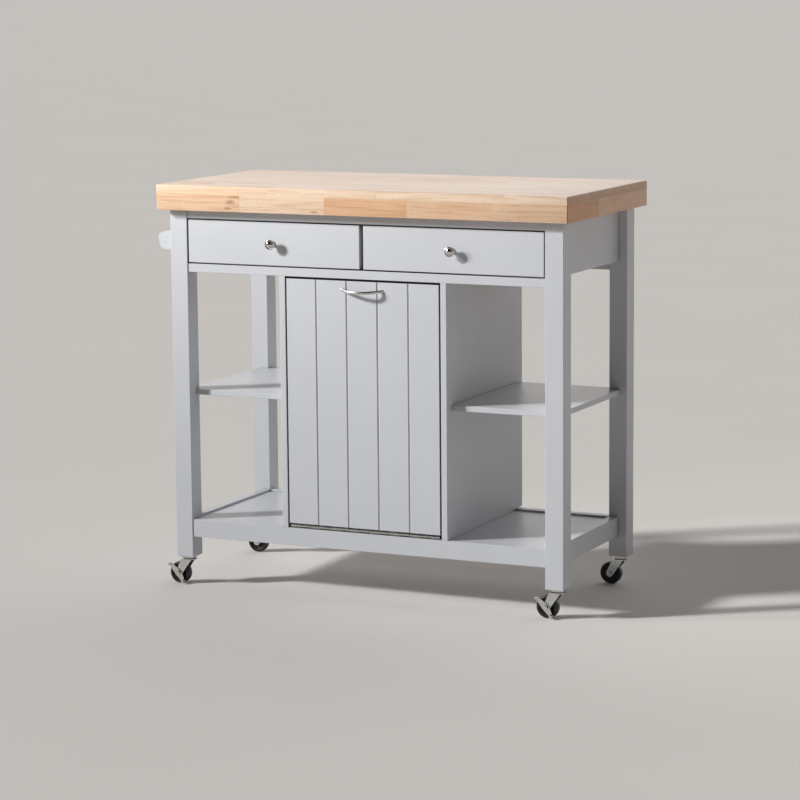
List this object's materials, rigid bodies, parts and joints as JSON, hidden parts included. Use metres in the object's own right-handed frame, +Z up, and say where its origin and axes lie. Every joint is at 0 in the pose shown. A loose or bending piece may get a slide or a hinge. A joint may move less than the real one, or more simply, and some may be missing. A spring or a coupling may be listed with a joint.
{
  "type": "butcher block table",
  "caption": "Wheeled kitchen island with a butcher block top, painted frame, drawers, open side shelves, a tilt-out bin cabinet and a towel rail.",
  "frame": {"origin": "on the floor under the middle of the whole cart's box, towel rail included", "axes": "+X to the right along the length as seen from the drawer side, +Y to the back, +Z up"},
  "size_m": [1.006, 0.473, 0.914],
  "materials": {
    "butcher_block": "sanded and lacquered finger-jointed rubberwood",
    "grey_paint": "light grey satin paint on wood",
    "drawer_box_wood": "clear lacquered plywood",
    "zinc_steel": "zinc plated pressed steel",
    "bright_chrome": "polished chrome plate",
    "black_wheel": "black moulded rubber"
  },
  "bodies": {
    "cart": {"worktop_slab": "butcher_block", "worktop_long_strips": "butcher_block", "worktop_end_strips": "butcher_block", "leg_front_left": "grey_paint", "leg_front_right": "grey_paint", "leg_rear_left": "grey_paint", "leg_rear_right": "grey_paint", "front_top_rail": "grey_paint", "drawer_rail": "grey_paint", "drawer_divider": "grey_paint", "side_apron_left": "grey_paint", "side_apron_right": "grey_paint", "rear_apron": "grey_paint", "bottom_rail_front": "grey_paint", "bottom_rail_rear": "grey_paint", "bottom_rail_left": "grey_paint", "bottom_rail_right": "grey_paint", "bottom_shelf": "grey_paint", "shelf_left": "grey_paint", "shelf_right": "grey_paint", "cabinet_panel_left": "grey_paint", "cabinet_panel_right": "grey_paint", "cabinet_back": "grey_paint", "door_stop_pins": "zinc_steel", "door_hinge_fixed_leaf": "zinc_steel", "door_hinge_pin": "zinc_steel", "drawer_slide_channels": "zinc_steel", "towel_brackets": "grey_paint", "towel_bar": "grey_paint", "caster_plates": "zinc_steel"},
    "drawer_left": {"drawer_left_front": "grey_paint", "drawer_left_sides": "drawer_box_wood", "drawer_left_back": "drawer_box_wood", "drawer_left_floor": "drawer_box_wood", "drawer_left_knob": "bright_chrome", "drawer_left_slides": "zinc_steel"},
    "drawer_right": {"drawer_right_front": "grey_paint", "drawer_right_sides": "drawer_box_wood", "drawer_right_back": "drawer_box_wood", "drawer_right_floor": "drawer_box_wood", "drawer_right_knob": "bright_chrome", "drawer_right_slides": "zinc_steel"},
    "door": {"door_panel": "grey_paint", "door_handle": "bright_chrome", "door_hinge_moving_leaf": "zinc_steel", "cradle_floor": "grey_paint", "cradle_sides": "grey_paint", "cradle_back": "grey_paint"},
    "fork_front_left": {"caster_fork_front_left": "zinc_steel"},
    "wheel_front_left": {"caster_wheel_front_left": "black_wheel"},
    "brake_front_left": {"caster_brake_front_left": "zinc_steel"},
    "fork_front_right": {"caster_fork_front_right": "zinc_steel"},
    "wheel_front_right": {"caster_wheel_front_right": "black_wheel"},
    "brake_front_right": {"caster_brake_front_right": "zinc_steel"},
    "fork_rear_left": {"caster_fork_rear_left": "zinc_steel"},
    "wheel_rear_left": {"caster_wheel_rear_left": "black_wheel"},
    "fork_rear_right": {"caster_fork_rear_right": "zinc_steel"},
    "wheel_rear_right": {"caster_wheel_rear_right": "black_wheel"}
  },
  "joints": [
    {"name": "drawer_left_slide", "type": "slide", "parent": "cart", "child": "drawer_left", "axis": [0, -1, 0], "range_m": [0, 0.26]},
    {"name": "drawer_right_slide", "type": "slide", "parent": "cart", "child": "drawer_right", "axis": [0, -1, 0], "range_m": [0, 0.26]},
    {"name": "door_tilt", "type": "hinge", "parent": "cart", "child": "door", "pos_m": [0.01, -0.2055, 0.16], "axis": [1, 0, 0], "range_deg": [0, 32]},
    {"name": "swivel_front_left", "type": "hinge", "parent": "cart", "child": "fork_front_left", "pos_m": [-0.443, -0.1885, 0.058], "axis": [0, 0, 1], "continuous": true},
    {"name": "spin_front_left", "type": "hinge", "parent": "fork_front_left", "child": "wheel_front_left", "pos_m": [-0.466, -0.1885, 0.025], "axis": [0, 1, 0], "continuous": true},
    {"name": "brake_front_left", "type": "hinge", "parent": "fork_front_left", "child": "brake_front_left", "pos_m": [-0.466, -0.1885, 0.025], "axis": [0, 1, 0], "range_deg": [-20, 0]},
    {"name": "swivel_front_right", "type": "hinge", "parent": "cart", "child": "fork_front_right", "pos_m": [0.463, -0.1885, 0.058], "axis": [0, 0, 1], "continuous": true},
    {"name": "spin_front_right", "type": "hinge", "parent": "fork_front_right", "child": "wheel_front_right", "pos_m": [0.44, -0.1885, 0.025], "axis": [0, 1, 0], "continuous": true},
    {"name": "brake_front_right", "type": "hinge", "parent": "fork_front_right", "child": "brake_front_right", "pos_m": [0.44, -0.1885, 0.025], "axis": [0, 1, 0], "range_deg": [-20, 0]},
    {"name": "swivel_rear_left", "type": "hinge", "parent": "cart", "child": "fork_rear_left", "pos_m": [-0.443, 0.1885, 0.058], "axis": [0, 0, 1], "continuous": true},
    {"name": "spin_rear_left", "type": "hinge", "parent": "fork_rear_left", "child": "wheel_rear_left", "pos_m": [-0.466, 0.1885, 0.025], "axis": [0, 1, 0], "continuous": true},
    {"name": "swivel_rear_right", "type": "hinge", "parent": "cart", "child": "fork_rear_right", "pos_m": [0.463, 0.1885, 0.058], "axis": [0, 0, 1], "continuous": true},
    {"name": "spin_rear_right", "type": "hinge", "parent": "fork_rear_right", "child": "wheel_rear_right", "pos_m": [0.44, 0.1885, 0.025], "axis": [0, 1, 0], "continuous": true}
  ]
}
